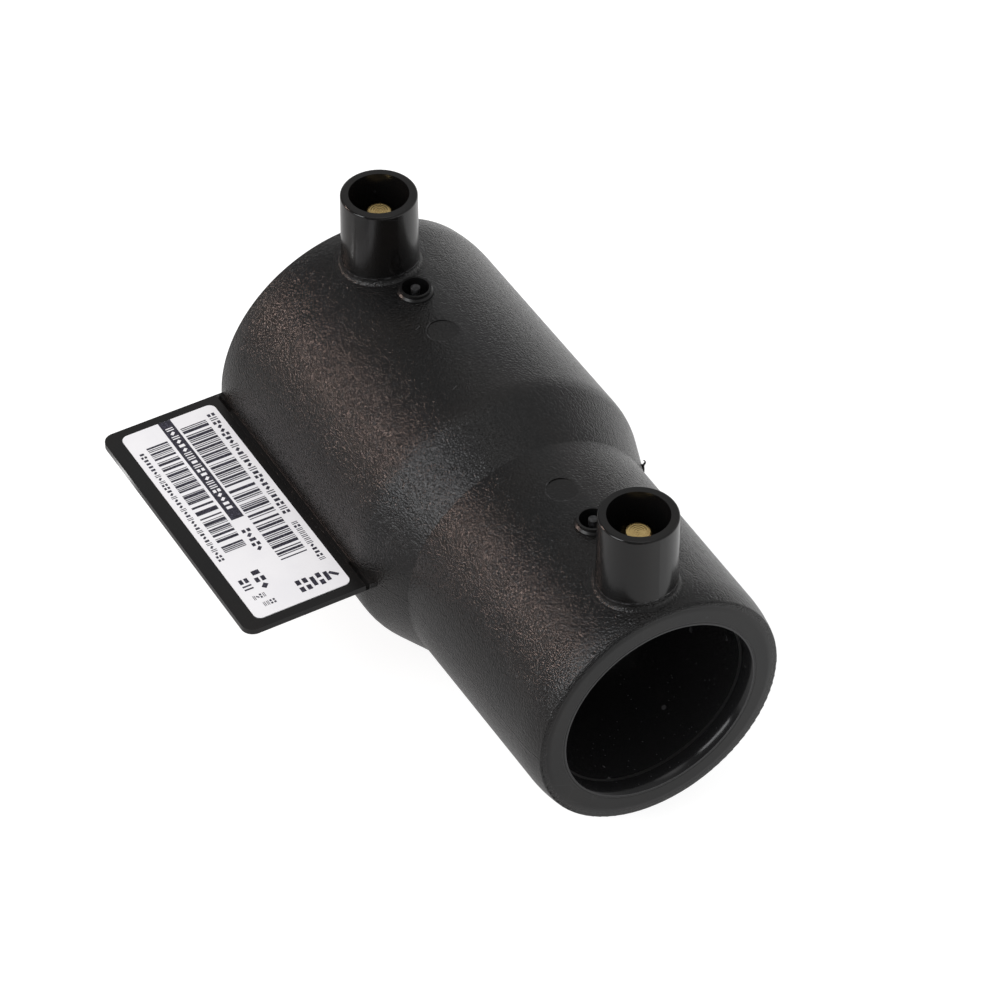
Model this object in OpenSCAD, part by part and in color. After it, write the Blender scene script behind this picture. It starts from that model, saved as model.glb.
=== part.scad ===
// Electrofusion reducer joining a 40 mm and a 32 mm polyethylene pipe.
// The pipe axis lies along X: the large mouth is at x = 0 and the small mouth at x = body_l.
// Z points up along the two terminals, and the tag stands out on the -Y side.

/* [Sockets] */
// Bore of the large socket
large_bore = 40.2; // [39:0.1:41]
// Bore of the small socket
small_bore = 32.2; // [31:0.1:33]
// Depth of the large socket, down to its pipe stop
large_depth = 44; // [42:0.5:46]
// Depth of the small socket, down to its pipe stop
small_depth = 41; // [37:0.5:42]
// Clear way between the two pipe stops
throat_bore = 27; // [22:0.5:29]
// Height of the large pipe stop before the throat tapers
stop_h = 2.6; // [1.5:0.1:3]
// Length of the wider entry band inside each mouth
entry_l = 3.4; // [2:0.2:6]
// How much wider than the bore the entry band is, on the diameter
entry_step = 0.3; // [0.1:0.1:0.5]

/* [Outside] */
// Overall length from mouth to mouth
body_l = 95; // [91:0.5:100]
// Outer diameter of the large section at its mouth
large_od = 50.1; // [48.8:0.1:54]
// Growth of the large section's diameter from its mouth to the shoulder
large_draft = 0.2; // [0:0.1:1]
// Outer diameter of the small section at its mouth
small_od = 42.5; // [41:0.1:46]
// Growth of the small section's diameter from its mouth to the cone
small_draft = 0.5; // [0:0.1:1]
// Distance from the large mouth to the foot of the cone
cone_foot = 56.3; // [54:0.1:58]
// Slope of the cone against the axis, in degrees
cone_angle = 20; // [17:1:28]
// Radius that rounds the shoulder above the cone
shoulder_r = 9; // [4:0.5:12]
// Length over which each section rolls off towards its mouth
edge_l = 5.2; // [3:0.2:6]
// Radius of that gentle roll-off
edge_r = 20; // [14:1:24]
// Rounding where the roll-off meets the mouth's face
face_edge_r = 0.4; // [0.3:0.1:0.8]

/* [Terminals] */
// Distance of the large section's terminal from the large mouth
terminal_inset_large = 9.3; // [8.6:0.1:11]
// Distance of the small section's terminal from the small mouth
terminal_inset_small = 7.6; // [7.2:0.1:10]
// Outer diameter of a shroud at its rim
shroud_od = 12.1; // [11.8:0.1:13]
// Growth of the shroud's diameter from its rim to its foot
shroud_draft = 0.3; // [0:0.1:0.6]
// Inner diameter of a shroud
shroud_id = 9.5; // [8.8:0.1:10]
// Height of a shroud above the crown of its section
shroud_h = 13; // [12:0.1:15]
// Depth of the well inside a shroud
well_depth = 11.4; // [10.5:0.1:12]
// Rounding of the shroud's rim
rim_r = 0.35; // [0.2:0.05:0.5]
// Radius of the fillet where a shroud meets the body
foot_fillet_r = 0.9; // [0.6:0.1:1.6]
// Diameter of a terminal pin
pin_d = 4; // [3.8:0.1:4.7]
// Distance from a shroud's rim down to its pin's tip
pin_setback = 3.45; // [2.8:0.05:3.7]
// Gap under a pin's root, where the end of the wire comes up from the liner
root_gap = 0.4; // [0.2:0.05:0.8]
// Chamfer round a pin's tip
pin_chamfer = 0.22; // [0.1:0.02:0.5]
// Diameter of a pin's shank, which the body holds
shank_d = 5; // [4.8:0.1:5.6]
// Diameter of the collar that anchors the shank
collar_d = 6.4; // [6:0.1:7]
// Thickness of that collar
collar_t = 1.2; // [0.8:0.1:1.4]
// Distance from a pin's root up to its collar
collar_rise = 0.9; // [0.5:0.1:1]

/* [Fusion indicators] */
// Distance of the large section's indicator from the large mouth
indicator_inset_large = 19.2; // [18.6:0.1:23]
// Distance of the small section's indicator from the small mouth
indicator_inset_small = 20.7; // [19:0.1:24]
// How far the large section's indicator stands aside from the crown, towards +Y
indicator_aside_large = 0.8; // [0:0.1:1]
// How far the small section's indicator stands aside
indicator_aside_small = 0.3; // [0:0.1:1]
// Outer diameter of an indicator's ring at its top
ring_od = 5; // [4.8:0.1:6]
// Outer diameter of the ring at its foot
ring_foot_od = 5.6; // [5.4:0.1:7]
// Height of the ring above the crown
ring_h = 1; // [0.6:0.1:1.6]
// Diameter of the well inside the ring
ring_well_d = 4.3; // [4:0.1:4.6]
// Diameter of an indicator's stem
stem_d = 1.5; // [1.2:0.1:2]
// How far the stem stays below the ring's top
stem_setback = 0.1; // [0.05:0.05:0.8]
// Thickness of the stem's foot, which lies over the winding
stem_foot_t = 0.8; // [0.5:0.1:1.2]

/* [Tag] */
// Length of the tag along the axis
tag_l = 50; // [44:0.5:54]
// Distance of the tag's end from the large mouth
tag_inset = 0.4; // [0.2:0.1:4]
// Distance from the axis to the tag's outer edge
tag_reach = 46; // [40:0.5:56]
// Thickness of the tag
tag_t = 1; // [0.8:0.1:2.4]
// Radius of the tag's outer corners
tag_corner_r = 2; // [1:0.1:4]
// Bevel along the tag's root, on both faces
tag_bevel = 0.5; // [0.3:0.1:1]
// Length of the printed label
label_l = 46.6; // [36:0.2:47]
// Width of the printed label
label_w = 16.4; // [12:0.1:16.8]
// Thickness of the label
label_t = 0.12; // [0.08:0.01:0.3]
// Radius of the label's corners
label_corner_r = 1.2; // [0.5:0.1:3]
// Distance from the label to the tag's outer edge
label_margin = 2.6; // [1.5:0.1:2.8]

/* [Liner and winding] */
// Wall of the liner round the sockets
liner_wall = 1.65; // [1.5:0.05:1.8]
// Wall of the liner's lip that shows in each mouth
lip_wall = 0.5; // [0.4:0.05:0.9]
// Length of that lip
lip_l = 2; // [1.5:0.1:3]
// Gap along the joint between the liner and the body
joint_gap = 0.03; // [0.02:0.01:0.05]
// Diameter of the heating wire
wire_d = 0.6; // [0.4:0.05:0.6]
// Depth of the bed that the wire is wound in
bed_depth = 0.85; // [0.83:0.01:0.9]
// Whole turns of each winding, to which half a turn is added
turns = 8; // [5:1:8]
// Distance between two turns
pitch = 2.2; // [1.6:0.1:2.3]
// Distance from a terminal to the first turn of the large winding
lead_large = 4; // [3:0.1:6]
// Distance from a terminal to the last turn of the small winding
lead_small = 8; // [6:0.1:9]

/* [Witness marks] */
// Diameter of the round marks that the mould leaves on the crown
mark_d = 4.9; // [4:0.1:6]
// Depth of a mark at its middle
mark_depth = 0.14; // [0.1:0.02:0.3]
// Distance of the large section's mark from the large mouth
mark_inset_large = 29.2; // [27:0.1:34]
// Distance of the small section's mark from the small mouth
mark_inset_small = 29.3; // [27:0.1:32]

/* [Hidden] */
$fn = 96;
// A cut runs this far past the face that it opens
past = 1;
// Two joined solids sink into each other by this much
sink = 0.4;
// Radii
large_r = large_od / 2;
small_r = small_od / 2;
mouth_r = [large_r, small_r];
// Each section's radius next to the cone
large_root_r = (large_od + large_draft) / 2;
small_root_r = (small_od + small_draft) / 2;
large_bore_r = large_bore / 2;
small_bore_r = small_bore / 2;
throat_r = throat_bore / 2;
stem_r = stem_d / 2;
pin_r = pin_d / 2;
shank_r = shank_d / 2;
wire_r = wire_d / 2;
shroud_r = shroud_od / 2;
shroud_foot_r = (shroud_od + shroud_draft) / 2;
// The two stations where each section carries its terminal, indicator and mark
terminal_x = [terminal_inset_large, body_l - terminal_inset_small];
indicator_x = [indicator_inset_large, body_l - indicator_inset_small];
indicator_y = [indicator_aside_large, indicator_aside_small];
mark_x = [mark_inset_large, body_l - mark_inset_small];
// Start of the shoulder's arc, and where the arc hands over to the cone
shoulder_drop = shoulder_r * (1 - cos(cone_angle));
cone_top_r = large_root_r - shoulder_drop;
cone_top = cone_foot - (cone_top_r - small_root_r) / tan(cone_angle);
shoulder_x = cone_top - shoulder_r * sin(cone_angle);
// A mouth's edge is a wide arc that leaves the barrel and a small one that meets the face.
// Their centres and the point where they meet are given from the mouth and from the barrel.
roll_c = [edge_l, -edge_r];
rim_c = [face_edge_r, sqrt(pow(edge_r - face_edge_r, 2) - pow(edge_l - face_edge_r, 2)) - edge_r];
rim_meet = roll_c + edge_r / (edge_r - face_edge_r) * (rim_c - roll_c);
// Height of the crown at x, which grows from each mouth's edge towards the cone
growth = [(large_root_r - large_r) / (shoulder_x - edge_l),
    (small_root_r - small_r) / (body_l - edge_l - cone_foot)];
function arc_rise(r, reach) = sqrt(r * r - pow(min(reach, 0.98 * r), 2));
function crown_from(r, rise, inset) = r + (inset > edge_l ? rise * (inset - edge_l)
    : inset > rim_meet[0] ? roll_c[1] + arc_rise(edge_r, roll_c[0] - inset)
    : rim_c[1] + arc_rise(face_edge_r, rim_c[0] - inset));
function crown_at(i, x) = crown_from(mouth_r[i], growth[i], i == 0 ? x : body_l - x);
crown_z = [for (i = [0, 1]) crown_at(i, terminal_x[i])];
ring_z = [for (i = [0, 1]) crown_at(i, indicator_x[i])];
mark_z = [for (i = [0, 1]) crown_at(i, mark_x[i])];
// The pipe stops, and the length of the small one
large_stop = large_depth;
small_stop = body_l - small_depth;
small_stop_l = 3.5;
// The liner's outside: a cone joins its two barrels within the body's own cone.
// It starts and ends this far past the pipe stops.
liner_cone_past = [1.5, 1];
liner_r = [large_bore_r + liner_wall, small_bore_r + liner_wall];
liner_cone = [large_stop + liner_cone_past[0], small_stop + liner_cone_past[1]];
// The bed and the wound wire in it. A turn is a chain of straight steps,
// so its corners lie further out than the middle of each step.
bed_r = [liner_r[0] - bed_depth, liner_r[1] - bed_depth];
turn_steps = 24;
wire_sides = 6;
bed_clear = 0.02;
coil_r = [for (r = bed_r) (r + bed_clear + wire_r) / cos(180 / turn_steps)];
coil_l = pitch * (turns + 0.5);
coil_start = [terminal_x[0] + lead_large, terminal_x[1] - lead_small - coil_l];
bed_end = 0.9;
bed_x = [[terminal_x[0] - bed_end, coil_start[0] + coil_l + bed_end],
    [coil_start[1] - bed_end, terminal_x[1] + bed_end]];
groove_w = 1.2;
// A pin runs from its root above the liner to its tip below the shroud's rim.
// Its shank ends just above the well's floor.
shank_rise = 0.1;
rim_z = [for (i = [0, 1]) crown_z[i] + shroud_h];
pin_z = [for (r = liner_r) r + root_gap];
pin_l = [for (i = [0, 1]) rim_z[i] - pin_setback - pin_z[i]];
shank_l = [for (i = [0, 1]) rim_z[i] - well_depth + shank_rise - pin_z[i]];
lead_hole_d = wire_d + 0.4;
// The tag's root lies inside the body's wall
tag_root = liner_r[0] + sink;

// Turns what is drawn along Z so that it lies along X
module along_x() rotate([0, 90, 0]) children();

// The edge of the mouth at the given place, whose section lies in the given way from it
module mouth_edge(r, mouth, way) {
    intersection() {
        translate([r + roll_c[1], mouth + way * roll_c[0]]) circle(edge_r);
        translate([0, mouth + (way > 0 ? rim_meet[0] : -edge_l)]) square([r + past, edge_l - rim_meet[0]]);
    }
    translate([r + rim_c[1], mouth + way * rim_c[0]]) circle(face_edge_r);
    polygon([[0, mouth], [r + rim_c[1], mouth], [r + rim_meet[1], mouth + way * rim_meet[0]],
        [0, mouth + way * rim_meet[0]]]);
}

// Outer profile of the body as radius and distance from the large mouth
module outer_profile() {
    mouth_edge(large_r, 0, 1);
    mouth_edge(small_r, body_l, -1);
    intersection() {
        translate([large_root_r - shoulder_r, shoulder_x]) circle(shoulder_r);
        translate([0, shoulder_x]) square([large_root_r + past, cone_foot - shoulder_x]);
    }
    polygon([[0, rim_meet[0]], [large_r + rim_meet[1], rim_meet[0]], [large_r, edge_l],
        [large_root_r, shoulder_x], [large_root_r - shoulder_r, shoulder_x], [cone_top_r, cone_top],
        [small_root_r, cone_foot], [small_r, body_l - edge_l],
        [small_r + rim_meet[1], body_l - rim_meet[0]], [0, body_l - rim_meet[0]]]);
}

// Outer profile of the liner. The body's inside is the same one grown by the joint gap.
module liner_profile(grow, over) {
    lip_large = large_bore_r + lip_wall + grow;
    lip_small = small_bore_r + lip_wall + grow;
    polygon([[0, -over], [lip_large, -over], [lip_large, lip_l - grow],
        [liner_r[0] + grow, lip_l - grow], [liner_r[0] + grow, liner_cone[0]],
        [liner_r[1] + grow, liner_cone[1]], [liner_r[1] + grow, body_l - lip_l + grow],
        [lip_small, body_l - lip_l + grow], [lip_small, body_l + over], [0, body_l + over]]);
}

// The fillet round a shroud's foot, which follows the round of the barrel it stands on and the
// rounding of the mouth's edge. In each upright plane through the shroud its section is an arc
// that touches the shroud's side and runs out on the body. It stops short of lying flat there.
fillet_spokes = 40;
fillet_steps = 5;
fillet_reach = 0.8;
fillet_skirt = 0.7;
slope_step = 0.01;
function barrel_z(i, s, a) = sqrt(pow(crown_at(i, terminal_x[i] + s * cos(a)), 2) - pow(s * sin(a), 2));
function barrel_tilt(i, s, a) = atan((barrel_z(i, s, a) - barrel_z(i, s + slope_step, a)) / slope_step);
function foot_at(i, a, wall, f, n) = n == 0 ? wall + f / 2
    : wall + f * (1 - sin(barrel_tilt(i, foot_at(i, a, wall, f, n - 1), a)));
function fillet_section(i, a, wall, f) =
    let (foot = foot_at(i, a, wall, f, 4),
        tilt = barrel_tilt(i, foot, a),
        centre_z = barrel_z(i, foot, a) + f * cos(tilt))
    concat([for (k = [0 : fillet_steps])
            let (t = fillet_reach * (90 - tilt) * k / fillet_steps)
            [wall + f - f * cos(t), centre_z - f * sin(t)]],
        [[wall + (foot - wall) * fillet_skirt, barrel_z(i, foot, a) - sink],
        [wall - sink, barrel_z(i, wall, a) - sink], [wall - sink, centre_z]]);
module foot_fillet(i) {
    section_n = fillet_steps + 4;
    points = [for (k = [0 : fillet_spokes - 1])
        let (a = 360 * k / fillet_spokes)
        for (p = fillet_section(i, a, shroud_foot_r, foot_fillet_r))
            [terminal_x[i] + p[0] * cos(a), p[0] * sin(a), p[1]]];
    faces = [for (k = [0 : fillet_spokes - 1], j = [0 : section_n - 1])
        let (k2 = (k + 1) % fillet_spokes, j2 = (j + 1) % section_n,
            p00 = k * section_n + j, p01 = k * section_n + j2,
            p10 = k2 * section_n + j, p11 = k2 * section_n + j2)
        for (f3 = [[p00, p01, p11], [p00, p11, p10]]) f3];
    polyhedron(points, faces);
}

// A shroud's outside, from inside the wall up to its rounded rim
module shroud(i) {
    foot_z = liner_r[i] + sink;
    translate([terminal_x[i], 0, 0]) rotate_extrude() {
        polygon([[0, foot_z], [shroud_foot_r, foot_z], [shroud_r, rim_z[i] - rim_r],
            [shroud_r - rim_r, rim_z[i]], [0, rim_z[i]]]);
        translate([shroud_r - rim_r, rim_z[i] - rim_r]) circle(rim_r);
    }
}

// A fusion indicator's ring, which widens to its foot
ring_foot_h = 0.15;
ring_neck_h = 0.45;
module indicator_ring(i) {
    translate([indicator_x[i], indicator_y[i], ring_z[i]]) rotate_extrude()
        polygon([[0, -sink], [ring_foot_od / 2, -sink], [ring_foot_od / 2, ring_foot_h],
            [ring_od / 2, ring_neck_h], [ring_od / 2, ring_h], [0, ring_h]]);
}

// Outline of a plate with its outer corners rounded
module plate_outline(l, w, r) {
    translate([0, r]) square([l, w - r]);
    translate([r, 0]) square([l - 2 * r, w]);
    translate([r, r]) circle(r);
    translate([l - r, r]) circle(r);
}

// The tag, with a bevel along its root from the mouth's roll-off to the shoulder
module tag_plate() {
    translate([tag_inset, -tag_reach, -tag_t / 2]) linear_extrude(tag_t)
        plate_outline(tag_l, tag_reach - tag_root, tag_corner_r);
    bevel_y = large_r + tag_bevel;
    bevel_top = tag_t / 2 + tag_bevel;
    translate([edge_l, 0, 0]) rotate([90, 0, 90]) linear_extrude(shoulder_x - edge_l)
        polygon([[-tag_root, -bevel_top], [sink - large_r, -bevel_top], [-bevel_y, -tag_t / 2],
            [-bevel_y, tag_t / 2], [sink - large_r, bevel_top], [-tag_root, bevel_top]]);
}

// What a pin and its wire end take out of the body: the well, the pin's seat and the lead's hole
module terminal_cut(i) {
    translate([terminal_x[i], 0, 0]) {
        translate([0, 0, rim_z[i] - well_depth]) cylinder(d = shroud_id, h = well_depth + past);
        translate([0, 0, pin_z[i] - joint_gap])
            cylinder(r = shank_r + joint_gap, h = shank_l[i] + past);
        translate([0, 0, pin_z[i] + collar_rise - joint_gap])
            cylinder(d = collar_d + 2 * joint_gap, h = collar_t + 2 * joint_gap);
        translate([0, 0, liner_r[i] - past])
            cylinder(d = lead_hole_d, h = pin_z[i] - liner_r[i] + past);
    }
}

// What an indicator takes out: its well, and the seat of its wide foot over the winding
module indicator_cut(i) {
    top = ring_z[i] + ring_h;
    foot_top = liner_r[i] + joint_gap + stem_foot_t;
    translate([indicator_x[i], indicator_y[i], 0]) {
        translate([0, 0, foot_top]) cylinder(d = ring_well_d, h = top - foot_top + past);
        translate([0, 0, liner_r[i] - past])
            cylinder(d = ring_well_d, h = past + stem_foot_t + 2 * joint_gap);
    }
}

module mark_cut(i) {
    translate([mark_x[i], 0, mark_z[i] - mark_depth]) cylinder(d = mark_d, h = past);
}

// The overmoulded outside: both sections, the cone, the shrouds, the indicator rings and the tag
module body() {
    color("#1d1e20") difference() {
        union() {
            along_x() rotate_extrude() outer_profile();
            for (i = [0, 1]) {
                shroud(i);
                indicator_ring(i);
                foot_fillet(i);
            }
            tag_plate();
        }
        along_x() rotate_extrude() liner_profile(joint_gap, past);
        for (i = [0, 1]) {
            terminal_cut(i);
            indicator_cut(i);
            mark_cut(i);
        }
    }
}

// The bores, with an entry band at each mouth, a stop for each pipe and the tapered throat
module bore_profile() {
    entry = entry_step / 2;
    polygon([[0, -past], [large_bore_r + entry, -past], [large_bore_r + entry, entry_l],
        [large_bore_r, entry_l + entry], [large_bore_r, large_stop],
        [large_bore_r - stop_h, large_stop], [throat_r, small_stop - small_stop_l], [throat_r, small_stop],
        [small_bore_r, small_stop], [small_bore_r, body_l - entry_l - entry],
        [small_bore_r + entry, body_l - entry_l], [small_bore_r + entry, body_l + past],
        [0, body_l + past]]);
}

// The groove in the liner's underside that takes the wire from one bed to the other
module link_groove() {
    translate([0, groove_w / 2, 0]) rotate([90, 0, 0]) linear_extrude(groove_w)
        polygon([[bed_x[0][1] - sink, -liner_r[0] - past], [bed_x[0][1] - sink, -bed_r[0]],
            [liner_cone[0], -bed_r[0]], [liner_cone[1], -bed_r[1]],
            [bed_x[1][0] + sink, -bed_r[1]], [bed_x[1][0] + sink, -liner_r[0] - past]]);
}

// The inner carrier that the wire is wound on, with both sockets in it
module liner() {
    color("#141416") difference() {
        along_x() rotate_extrude() liner_profile(0, 0);
        along_x() rotate_extrude() bore_profile();
        for (i = [0, 1]) along_x() translate([0, 0, bed_x[i][0]]) difference() {
            cylinder(r = liner_r[i] + past, h = bed_x[i][1] - bed_x[i][0]);
            translate([0, 0, -past]) cylinder(r = bed_r[i], h = bed_x[i][1] - bed_x[i][0] + 2 * past);
        }
        link_groove();
    }
}

// The wire's route. An angle of 0 is the crown and 180 the underside.
function on_barrel(x, r, a) = [x, r * sin(a), r * cos(a)];
bend_l = 1.5;
bend_a = [for (r = coil_r) bend_l / r * 180 / PI];
lead_bend = 0.5;
wire_in = liner_r[1] - coil_r[1];
// Down from the large pin's root and along the crown to the first turn
route_in = [[terminal_x[0], 0, pin_z[0] - bed_clear],
    [terminal_x[0], 0, coil_r[0] + lead_bend],
    [terminal_x[0] + lead_bend * 0.3, 0, coil_r[0] + lead_bend * 0.3],
    [terminal_x[0] + lead_bend, 0, coil_r[0]],
    on_barrel(coil_start[0] - bend_l, coil_r[0], 0),
    on_barrel(coil_start[0] - bend_l * 0.3, coil_r[0], bend_a[0] * 0.3)];
// Both windings, each from its first bend to its last
function winding(i, from) = [for (k = [0 : turn_steps * (turns + 0.5) - 1])
    let (a = 360 * (k + 0.5) / turn_steps)
    on_barrel(coil_start[i] + pitch * a / 360, coil_r[i], from + a)];
// From the large winding's end along the groove to the small winding
coil_end = [coil_start[0] + coil_l, coil_start[1] + coil_l];
route_link = [
    on_barrel(coil_end[0] + bend_l * 0.3, coil_r[0], 180 - bend_a[0] * 0.3),
    on_barrel(coil_end[0] + bend_l, liner_r[0] - wire_in, 180),
    on_barrel(liner_cone[0], liner_r[0] - wire_in, 180),
    on_barrel(liner_cone[1], coil_r[1], 180),
    on_barrel(coil_start[1] - bend_l, coil_r[1], 180),
    on_barrel(coil_start[1] - bend_l * 0.3, coil_r[1], 180 + bend_a[1] * 0.3)];
// From the small winding's end along the crown and up to the small pin's root
route_out = [
    on_barrel(coil_end[1] + bend_l * 0.3, coil_r[1], -bend_a[1] * 0.3),
    on_barrel(coil_end[1] + bend_l, coil_r[1], 0),
    [terminal_x[1] - lead_bend, 0, coil_r[1]],
    [terminal_x[1] - lead_bend * 0.3, 0, coil_r[1] + lead_bend * 0.3],
    [terminal_x[1], 0, coil_r[1] + lead_bend],
    [terminal_x[1], 0, pin_z[1] - bed_clear]];
wire_route = concat(route_in, winding(0, 0), route_link, winding(1, 180), route_out);

// Carries a round section along a route without twisting it
function unit(v) = v / norm(v);
function across(v, t) = unit(v - (v * t) * t);
function tangents(p) = [for (i = [0 : len(p) - 1])
    unit(p[min(i + 1, len(p) - 1)] - p[max(i - 1, 0)])];
module swept_wire(route, r, sides) {
    t = tangents(route);
    n = [for (i = 0, v = across([1, 0, 0], t[0]); i < len(route);
        i = i + 1, v = i < len(route) ? across(v, t[i]) : v) v];
    points = [for (i = [0 : len(route) - 1], k = [0 : sides - 1])
        let (a = 360 * k / sides) route[i] + r * (cos(a) * n[i] + sin(a) * cross(t[i], n[i]))];
    last = (len(route) - 1) * sides;
    sides_faces = [for (i = [0 : len(route) - 2], k = [0 : sides - 1])
        let (k2 = (k + 1) % sides, p = i * sides, q = p + sides)
        for (f3 = [[p + k, q + k, q + k2], [p + k, q + k2, p + k2]]) f3];
    polyhedron(points, concat([[for (k = [0 : sides - 1]) k]],
        [[for (k = [sides - 1 : -1 : 0]) last + k]], sides_faces));
}

module heating_wire() {
    color("#9a958c") swept_wire(wire_route, wire_r, wire_sides);
}

// A turned pin with a chamfered tip and the collar that holds it in the body
module terminal_pin(i) {
    color("#c9a24d") translate([terminal_x[i], 0, pin_z[i]]) {
        cylinder(r = shank_r, h = shank_l[i]);
        cylinder(r = pin_r, h = pin_l[i] - pin_chamfer);
        translate([0, 0, pin_l[i] - pin_chamfer])
            cylinder(r1 = pin_r, r2 = pin_r - pin_chamfer, h = pin_chamfer);
        translate([0, 0, collar_rise]) cylinder(d = collar_d, h = collar_t);
    }
}
module terminal_pin_large() terminal_pin(0);
module terminal_pin_small() terminal_pin(1);

// The stem that melt lifts when the joint is made, on the wide foot that lies over the winding
module indicator_pin(i) {
    foot_z = liner_r[i] + joint_gap;
    top = ring_z[i] + ring_h - stem_setback;
    color("#232426") translate([indicator_x[i], indicator_y[i], foot_z]) {
        cylinder(d = ring_well_d - 2 * joint_gap, h = stem_foot_t);
        cylinder(r = stem_r, h = top - foot_z);
    }
}
module indicator_pin_large() indicator_pin(0);
module indicator_pin_small() indicator_pin(1);

module label() {
    start = tag_inset + (tag_l - label_l) / 2;
    color("white") translate([start, label_margin - tag_reach, tag_t / 2]) linear_extrude(label_t) {
        translate([0, label_corner_r]) square([label_l, label_w - 2 * label_corner_r]);
        translate([label_corner_r, 0]) square([label_l - 2 * label_corner_r, label_w]);
        for (x = [label_corner_r, label_l - label_corner_r], y = [label_corner_r, label_w - label_corner_r])
            translate([x, y]) circle(label_corner_r);
    }
}

body();
liner();
heating_wire();
terminal_pin_large();
terminal_pin_small();
indicator_pin_large();
indicator_pin_small();
label();
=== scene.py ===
import math
import bmesh
import bpy
from mathutils import Matrix, Vector


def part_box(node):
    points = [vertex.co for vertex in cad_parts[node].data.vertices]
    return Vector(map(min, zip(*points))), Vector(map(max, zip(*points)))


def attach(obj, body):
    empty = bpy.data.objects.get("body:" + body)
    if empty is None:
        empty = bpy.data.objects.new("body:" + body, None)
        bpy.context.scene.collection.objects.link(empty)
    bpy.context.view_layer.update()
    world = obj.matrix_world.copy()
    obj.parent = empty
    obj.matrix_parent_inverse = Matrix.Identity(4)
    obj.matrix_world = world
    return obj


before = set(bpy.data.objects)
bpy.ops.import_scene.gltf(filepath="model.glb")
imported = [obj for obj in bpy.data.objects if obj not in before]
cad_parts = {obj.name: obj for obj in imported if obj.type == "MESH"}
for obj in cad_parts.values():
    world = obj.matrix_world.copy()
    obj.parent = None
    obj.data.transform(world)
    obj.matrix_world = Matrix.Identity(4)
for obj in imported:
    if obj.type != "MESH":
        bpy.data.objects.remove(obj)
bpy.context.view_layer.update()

MM = 0.001

# Sizes of the fitting, as the part's source has them
LARGE_R = 25.05 * MM
SMALL_R = 21.3 * MM
FACE_EDGE_R = 20.25 * MM
LARGE_FACE_EDGE_R = 24.05 * MM
TERMINAL_AT = [(9.3 * MM, 0.0), (87.4 * MM, 0.0)]
INDICATOR_AT = [(19.2 * MM, 0.8 * MM), (74.3 * MM, 0.3 * MM)]
MARK_AT = [(29.2 * MM, 0.0), (65.7 * MM, 0.0)]
MARK_R = 2.45 * MM
RING_FOOT_R = 2.8 * MM
ENTRY_R = 16.25 * MM
ENTRY_L = 3.4 * MM
JOINT_R = 16.63 * MM
TAG_END = 51.0 * MM
# Where the cone runs along X
CONE_X = (45.0 * MM, 60.0 * MM)
# How far the smooth moulding of a shroud reaches from its axis
SHROUD_REACH = 6.6 * MM
BODY_LO, BODY_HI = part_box("body")
BODY_L = BODY_HI.x
LABEL_LO, LABEL_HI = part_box("label")
LABEL_TOP = LABEL_HI.z

# The surface: size and depth of the grain, two scratches and their way, and the angle that the
# rings left by turning run through in a metre
GRAIN_SIZE = 0.00034
GRAIN_DEPTH = 0.00012
SCRATCH_AT = [(26.6 * MM, -2.9 * MM), (41.2 * MM, -4.6 * MM)]
SCRATCH_WAY = (0.35, -0.94)
TURNING_WAVES = 17000.0

# Camera: the photograph's viewpoint, found from the outlines
CAMERA_AT = Vector((503.89, -261.81, 505.10)) * MM
CAMERA_LOOK = Vector((-0.62837, 0.36008, -0.68956))
LENS_MM = 169.2
SENSOR_MM = 36.0


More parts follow.
